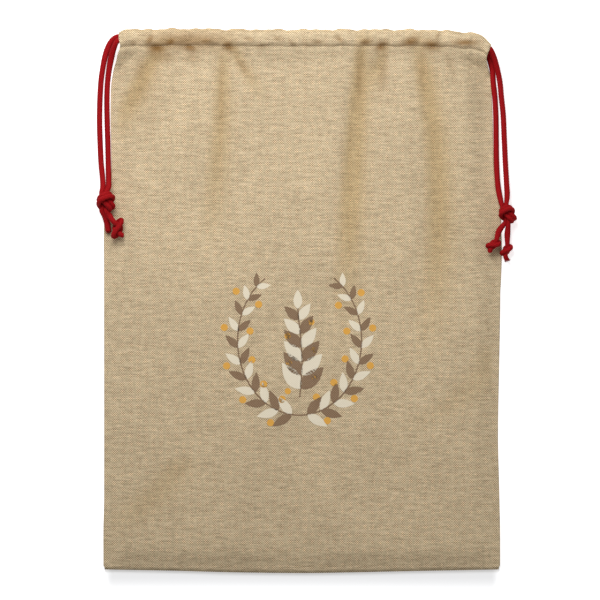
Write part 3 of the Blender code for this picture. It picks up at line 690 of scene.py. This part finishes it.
def new_piece(name, vertices, faces, material, slot, replaced=()):
    mesh = bpy.data.meshes.new(name)
    mesh.from_pydata([tuple(c * MM for c in v) for v in vertices], [], faces)
    mesh.shade_smooth()
    mesh.materials.append(material)
    piece = bpy.data.objects.new(name, mesh)
    bpy.context.scene.collection.objects.link(piece)
    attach(piece, "root")
    if replaced:
        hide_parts(*replaced)
    return piece


def store(piece, name, values):
    """Keeps a value for each point of a piece, for its material."""
    piece.data.attributes.new(name, "FLOAT", "POINT").data.foreach_set("value", values)


def quads(base, rows, width, closed=False, flip=False):
    """Faces between rows of points, each this many long. Closed rows make a tube with both ends shut."""
    faces = []
    for k in range(rows - 1):
        here, there = base + k * width, base + (k + 1) * width
        for i in range(width if closed else width - 1):
            after = (i + 1) % width
            corners = (here + i, there + i, there + after, here + after)
            faces.append((corners[0], *corners[:0:-1]) if flip else corners)
    if closed:
        ends = tuple(range(base, base + width)), tuple(range(there, there + width))[::-1]
        faces += [end[::-1] for end in ends] if flip else ends
    return faces


def cloth_piece(name, columns, crowding, rows, point, material, node):
    """One cloth as a grid, with the shares of the shade painted into its folds, pleats and top fold at its
    points.
    """
    vertices, rim_painted_shades = [], []
    for kind, value in rows:
        for i in range(columns + 1):
            share = i / columns
            x, y, z = point(share - crowding * sin(2 * pi * share) / (2 * pi), kind, value)
            near_top = smoothstep((y - TOP + SCALLOP_REACH) / SCALLOP_REACH)
            vertices.append((x, y + (waves(SCALLOPS, x) - SCALLOP_DROP) * near_top, z))
            # the top fold and the rows near it take painted shade
            rim_painted_shades.append(0.0 if kind == "body" else RIM_PAINTED_SHADE * max(0.0, 1 - value / RIM_REACH))
    piece = new_piece(name, vertices, quads(0, len(rows), columns + 1), material, "burlap", [node])
    # painted shade: by a fold's depth where the cloth lies free, or on the top fold, whichever is more
    store(piece, "painted_fold_shade", [max(rim, min(1.0, -fold_relief(x, y) / VALLEY_DEPTH)) if z > LIFTED_Z else rim
                            for (x, y, z), rim in zip(vertices, rim_painted_shades)])
    # painted shade of the pleats, where the cloth lies free
    store(piece, "painted_pleat_shade", [pleat_depth(x, y) if z > LIFTED_Z else 0.0 for x, y, z in vertices])
    solid = piece.modifiers.new("Cloth", "SOLIDIFY")
    solid.thickness = CLOTH * MM
    solid.offset = 0.0
    solid.use_even_offset = True
    return piece


def braid_height(around, along):
    """Relief from 0 to 1 of a braid, at a turn share and a distance along the cord."""
    a = BRAID_AROUND * around + along / BRAID_PITCH
    b = BRAID_AROUND * around - along / BRAID_PITCH
    across, lengthwise = (a, b) if (a // 1 + b // 1) % 2 else (b, a)
    return sin(pi * (across % 1.0)) ** BRAID_ROUND * sin(pi * (lengthwise % 1.0)) ** BRAID_FLAT


def braided_tube(name, points, material, node):
    """A cord along (x, y, z, share of CORD) rows that lie close together."""
    tangents = []
    for k in range(len(points)):
        t = points[min(k + 1, len(points) - 1)][:3] - points[max(k - 1, 0)][:3]
        tangents.append(t / norm(t))
    normal = np.cross(tangents[0], ASIDE)
    normal /= norm(normal)
    vertices, relief, along = [], [], 0.0
    for k, (point, tangent) in enumerate(zip(points, tangents)):
        normal = normal - tangent * normal.dot(tangent)
        normal /= norm(normal)
        other = np.cross(tangent, normal)
        if k:
            along += norm(point[:3] - points[k - 1][:3])
        for i in range(RING_SIDES):
            turn = i / RING_SIDES
            high = braid_height(turn, along)
            radius = CORD / 2 * point[3] * (1 + BRAID_DEPTH * (high - BRAID_MEAN))
            angle = 2 * pi * turn
            vertices.append(point[:3] + (normal * cos(angle) + other * sin(angle)) * radius)
            relief.append(high)
    faces = quads(0, len(points), RING_SIDES, closed=True, flip=True)
    piece = new_piece(name, vertices, faces, material, "cord", [node])
    store(piece, "relief", relief)
    return piece


def tuft(name, at, direction, count, length, material, seed):
    """Frayed strands at a cord's end, in one mesh."""
    draw = random.Random(seed)
    along, across, toward = facing(direction)
    vertices, faces = [], []
    for _ in range(count):
        turn, out = draw.uniform(0, 2 * pi), draw.uniform(*FRAY_ROOT) * CORD * 0.5
        side = across * cos(turn) + toward * sin(turn)
        reach, spread = length * draw.uniform(*FRAY_LENGTH), draw.uniform(*FRAY_SPREAD)
        faces += quads(len(vertices), FRAY_RINGS, len(FRAY_SIDES), closed=True, flip=True)
        for k in range(FRAY_RINGS):
            t = k / (FRAY_RINGS - 1)
            middle = Vector(at) + side * (out + spread * reach * t * t) + along * reach * t
            middle.z = max(FRAY_FLOOR, middle.z)
            thick = FRAY_RADIUS * (1 - FRAY_TAPER * t)
            vertices += [middle + across * thick * cos(a) + toward * thick * sin(a)
                         for a in FRAY_SIDES]
    piece = new_piece(name, vertices, faces, material, "cord")
    store(piece, "relief", [FRAY_RELIEF] * len(vertices))
    return piece


def stitches(name, material):
    """The casing's stitch line: one short thread a stitch, in one mesh."""
    vertices, faces = [], []
    for k in range(STITCH_COUNT):
        u = (k + 0.5) / STITCH_COUNT * (1 - 2 * STITCH_MARGIN) + STITCH_MARGIN
        x, y, z = front_point(u, "body", TOP - CASING)
        faces += quads(len(vertices), len(STITCH_RINGS), STITCH_SIDES, closed=True)
        for t, thick in STITCH_RINGS:
            for i in range(STITCH_SIDES):
                a = 2 * pi * i / STITCH_SIDES
                high = z + CLOTH / 2 + STITCH_LIFT + thick * sin(a) - STITCH_SINK * t * t
                vertices.append((x + t * STITCH_HALF, y + thick * cos(a), high))
    return new_piece(name, vertices, faces, material, "burlap")


def on_front(x, y):
    """A printed point, just over the front's cloth."""
    return x, y, front_height(0.5, x, y) + CLOTH / 2 + PRINT_LIFT


def printed_leaf(at, angle, length, width, vertices, faces):
    """A pointed leaf as strips of quads on both sides of its middle line."""
    faces += quads(len(vertices), LEAF_STEPS + 1, 2 * LEAF_STRIPS + 1)
    for k in range(LEAF_STEPS + 1):
        t = k / LEAF_STEPS
        half = width / 2 * sin(pi * t ** LEAF_BELLY) ** LEAF_ROUND + LEAF_TIP
        for j in range(-LEAF_STRIPS, LEAF_STRIPS + 1):
            px, py = t * length, half * j / LEAF_STRIPS
            vertices.append(on_front(at[0] + px * cos(angle) - py * sin(angle),
                                     at[1] + px * sin(angle) + py * cos(angle)))


def printed_dot(at, radius, vertices, faces):
    base, rim = len(vertices), [2 * pi * i / DOT_SIDES for i in range(DOT_SIDES)]
    vertices.append(on_front(*at))
    for ring in (0.5, 1.0):
        vertices += [on_front(at[0] + radius * ring * cos(a), at[1] + radius * ring * sin(a))
                     for a in rim]
    for i in range(DOT_SIDES):
        here, after = base + 1 + i, base + 1 + (i + 1) % DOT_SIDES
        faces += [(base, here, after), (here, here + DOT_SIDES, after + DOT_SIDES, after)]


def printed_line(points, half_width, vertices, faces):
    faces += quads(len(vertices), len(points), 2, flip=True)
    for k, p in enumerate(points):
        a, b = points[max(0, k - 1)], points[min(len(points) - 1, k + 1)]
        run = hypot(b[0] - a[0], b[1] - a[1])
        nx, ny = -(b[1] - a[1]) / run * half_width, (b[0] - a[0]) / run * half_width
        vertices += [on_front(p[0] + nx, p[1] + ny), on_front(p[0] - nx, p[1] - ny)]


def leaf_pairs(place, colors, shapes, pairs, first, step, length, shorter, width, narrower):
    """Leaves on both sides up a stem, their colours changing sides: each pair's foot and heading."""
    feet = []
    for k in range(pairs):
        t = first + step * k
        here, ahead = place(t), place(t + HEADING_STEP)
        heading = atan2(ahead[1] - here[1], ahead[0] - here[0])
        for lean, color in zip((-1, 1), colors[::-1] if k % 2 else colors):
            printed_leaf(here, heading + lean * LEAF_LEAN, length - shorter * k, width - narrower * k,
                         *shapes[color])
        feet.append((here, heading))
    return feet


def print_sprigs():
    """Two curved sprigs that leave the top open and an upright one between them, with berries."""
    shapes = {color: ([], []) for color in INKS}
    (x, y), (wide, high) = PRINT_MIDDLE, PRINT_RADII

    def upright(t):
        return x + SPRIG_SWAY * sin(SPRIG_TURN * t), y + SPRIG_FOOT + SPRIG_RISE * t

    def curved(side):
        def place(t):
            turn = -pi / 2 + side * t * SPRIG_SWEEP
            return x + wide * cos(turn), y + high * sin(turn)
        return place

    for place in (curved(-1), curved(1), upright):
        printed_line([place(k / STEM_STEPS) for k in range(STEM_STEPS + 1)], STEM_HALF, *shapes["brown"])
    for side in (-1, 1):
        for here, heading in leaf_pairs(curved(side), ("cream", "brown"), shapes, **CURVED_LEAVES)[1::2]:
            for lean, reach in CURVED_REACH:
                turn = heading + lean * BERRY_LEAN
                berry = here[0] + reach * cos(turn), here[1] + reach * sin(turn)
                printed_dot(berry, CURVED_BERRY, *shapes["amber"])
    for k, (here, _) in enumerate(leaf_pairs(upright, ("brown", "cream"), shapes, **UPRIGHT_LEAVES)):
        out = UPRIGHT_REACH[0] if k % 2 else -UPRIGHT_REACH[0]
        printed_dot((here[0] + out, here[1] + UPRIGHT_REACH[1]), UPRIGHT_BERRY, *shapes["amber"])
    printed_leaf(upright(1.0), pi / 2, *TOP_LEAF, *shapes["cream"])
    return [new_piece(f"print_{color}", *shapes[color], ink(f"ink_{color}", INKS[color]), "burlap")
            for color in INKS]


# ---- The scene

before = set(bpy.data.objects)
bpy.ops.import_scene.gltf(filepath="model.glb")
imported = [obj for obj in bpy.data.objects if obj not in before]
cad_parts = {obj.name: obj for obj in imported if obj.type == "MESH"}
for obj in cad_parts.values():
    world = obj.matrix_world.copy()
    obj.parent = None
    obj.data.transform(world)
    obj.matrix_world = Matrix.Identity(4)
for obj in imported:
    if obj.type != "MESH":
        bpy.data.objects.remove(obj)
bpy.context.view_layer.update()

VIEW_WIDTH = 600 * 1.2594 * MM  # what the picture's 600 pixels span at the cloth's height
VIEW_MIDDLE = (-2.5 * MM, 0.9 * MM)
SCALE_HEIGHT = 3.0 * MM  # where the outline lies
LENS, SENSOR = 300.0, 36.0

camera = bpy.data.objects.new("Camera", bpy.data.cameras.new("Camera"))
camera.data.lens = LENS
camera.data.sensor_width = SENSOR
camera.location = (*VIEW_MIDDLE, SCALE_HEIGHT + VIEW_WIDTH * LENS / SENSOR)
camera.data.clip_end = 20.0
bpy.context.scene.collection.objects.link(camera)
bpy.context.scene.camera = camera

# Cords: each whole route is cut where it enters the casing
red = cotton("red_cotton")
CASING_ENDS = (-226.0, 214.0)
CASING_LOW = 315.0  # a cord lies higher than this only in its casing and round its ends
free_cords = {}
for name, route in cord_routes().items():
    path = spline_points(route, RING_STEP)
    high = [k for k, row in enumerate(path) if row[1] > CASING_LOW]
    first, last = (next(k for k in high if path[k][0] >= end) for end in CASING_ENDS)
    which = name.split("_")[1]
    free_cords[f"cord_left_{which}"] = (path[:first + 1][::-1], name)
    free_cords[f"cord_right_{which}"] = (path[last:], name)
    braided_tube(f"cord_run_{which}", path[first:last:HIDDEN_EVERY] + [path[last]], red, name)

# Frayed ends: the cord, the piece's name, direction, number of strands, length, seed
FRAYS = (("cord_left_front", "fray_left", (0.2, -1.0, 0.0), 30, 3.4, 3),
         ("cord_right_back", "fray_right", (0.4, -0.9, 0.0), 90, 6.0, 5))
made = {name: braided_tube(name, path, red, node) for name, (path, node) in free_cords.items()}
tufts = {cord: tuft(name, free_cords[cord][0][-1][:3], direction, count, reach, red, seed)
         for cord, name, direction, count, reach, seed in FRAYS}
for name, (path, node) in free_cords.items():
    rows = np.array(path)[:, :3]
    length = float(norm(np.diff(rows, axis=0), axis=1).sum())

# Cloth
front = cloth_piece("front_cloth", FRONT_COLUMNS, FRONT_CROWDING, sheet_rows(FRONT_ROWS), front_point,
                    burlap("burlap_front"), "front_panel")
back = cloth_piece("back_cloth", BACK_COLUMNS, BACK_CROWDING, sheet_rows(BACK_ROWS), back_point,
                   burlap("burlap_back"), "back_panel")
seam = stitches("casing_stitches", plain("stitch_thread", THREAD_TAN))
prints = print_sprigs()


# Lights: name, place, target, size, watts, colour
LIGHTS = (("key", (-0.24, 0.86, 1.10), (0.0, 0.10, 0.0), 0.8, 19.2, (0.99, 1.0, 1.03)),
          ("fill", (0.6, -0.7, 1.9), (0.0, -0.1, 0.0), 1.4, 5.2, (1.0, 1.0, 1.0)))
SKY = 0.23
FLOOR_HALF, FLOOR_DROP = 3.0, 0.4 * MM
FLOOR_WHITE, FLOOR_GLOW = 0.92, 0.60
# Soft shadow painted on the floor below the lower edge: where it starts under the sack, where it fades,
# likewise at the sack's sides, and its strength
SHADE_FROM, SHADE_FADE = (310 * MM, 340 * MM), (346 * MM, 380 * MM)
SHADE_SIDES, FLOOR_PAINTED_SHADOW = (238 * MM, 256 * MM), 0.37


def white_floor():
    """White that glows a little, with a soft shadow painted below the sack's lower edge."""
    nodes = Nodes("white_floor")
    place = nodes.add("ShaderNodeSeparateXYZ", {"Vector": nodes.place}).outputs
    below, aside = nodes.times(place["Y"], -1.0), nodes.math("ABSOLUTE", place["X"])
    shade = nodes.ramp(below, *SHADE_FROM, 0.0, 1.0, "SMOOTHSTEP")
    for distance, span in ((below, SHADE_FADE), (aside, SHADE_SIDES)):
        shade = nodes.times(shade, nodes.ramp(distance, *span, 1.0, 0.0, "SMOOTHSTEP"))
    left_over = nodes.math("SUBTRACT", 1.0, nodes.times(shade, FLOOR_PAINTED_SHADOW))
    grays = [nodes.times(left_over, level) for level in (FLOOR_WHITE, 1.0)]
    base, glow = (nodes.rgb(gray, gray, gray) for gray in grays)
    return nodes.finish({"Base Color": base, "Emission Color": glow, "Roughness": MATT,
                         "Emission Strength": FLOOR_GLOW})


for name, place, target, size, watts, color in LIGHTS:
    data = bpy.data.lights.new(name, "AREA")
    data.size, data.energy, data.color = size, watts, color
    lamp = bpy.data.objects.new(name, data)
    lamp.location = place
    lamp.rotation_euler = (Vector(target) - Vector(place)).to_track_quat("-Z", "Y").to_euler()
    bpy.context.scene.collection.objects.link(lamp)
world = bpy.data.worlds.new("World")
world.use_nodes = True
sky = world.node_tree.nodes["Background"].inputs
sky["Color"].default_value = (1.0, 1.0, 1.0, 1.0)
sky["Strength"].default_value = SKY
bpy.context.scene.world = world
bpy.context.scene.view_settings.view_transform = "Standard"

floor_mesh = bpy.data.meshes.new("floor")
grid = bmesh.new()
bmesh.ops.create_grid(grid, x_segments=1, y_segments=1, size=FLOOR_HALF)
grid.to_mesh(floor_mesh)
grid.free()
floor_mesh.materials.append(white_floor())
floor = bpy.data.objects.new("floor", floor_mesh)
floor.location.z = -FLOOR_DROP
bpy.context.scene.collection.objects.link(floor)
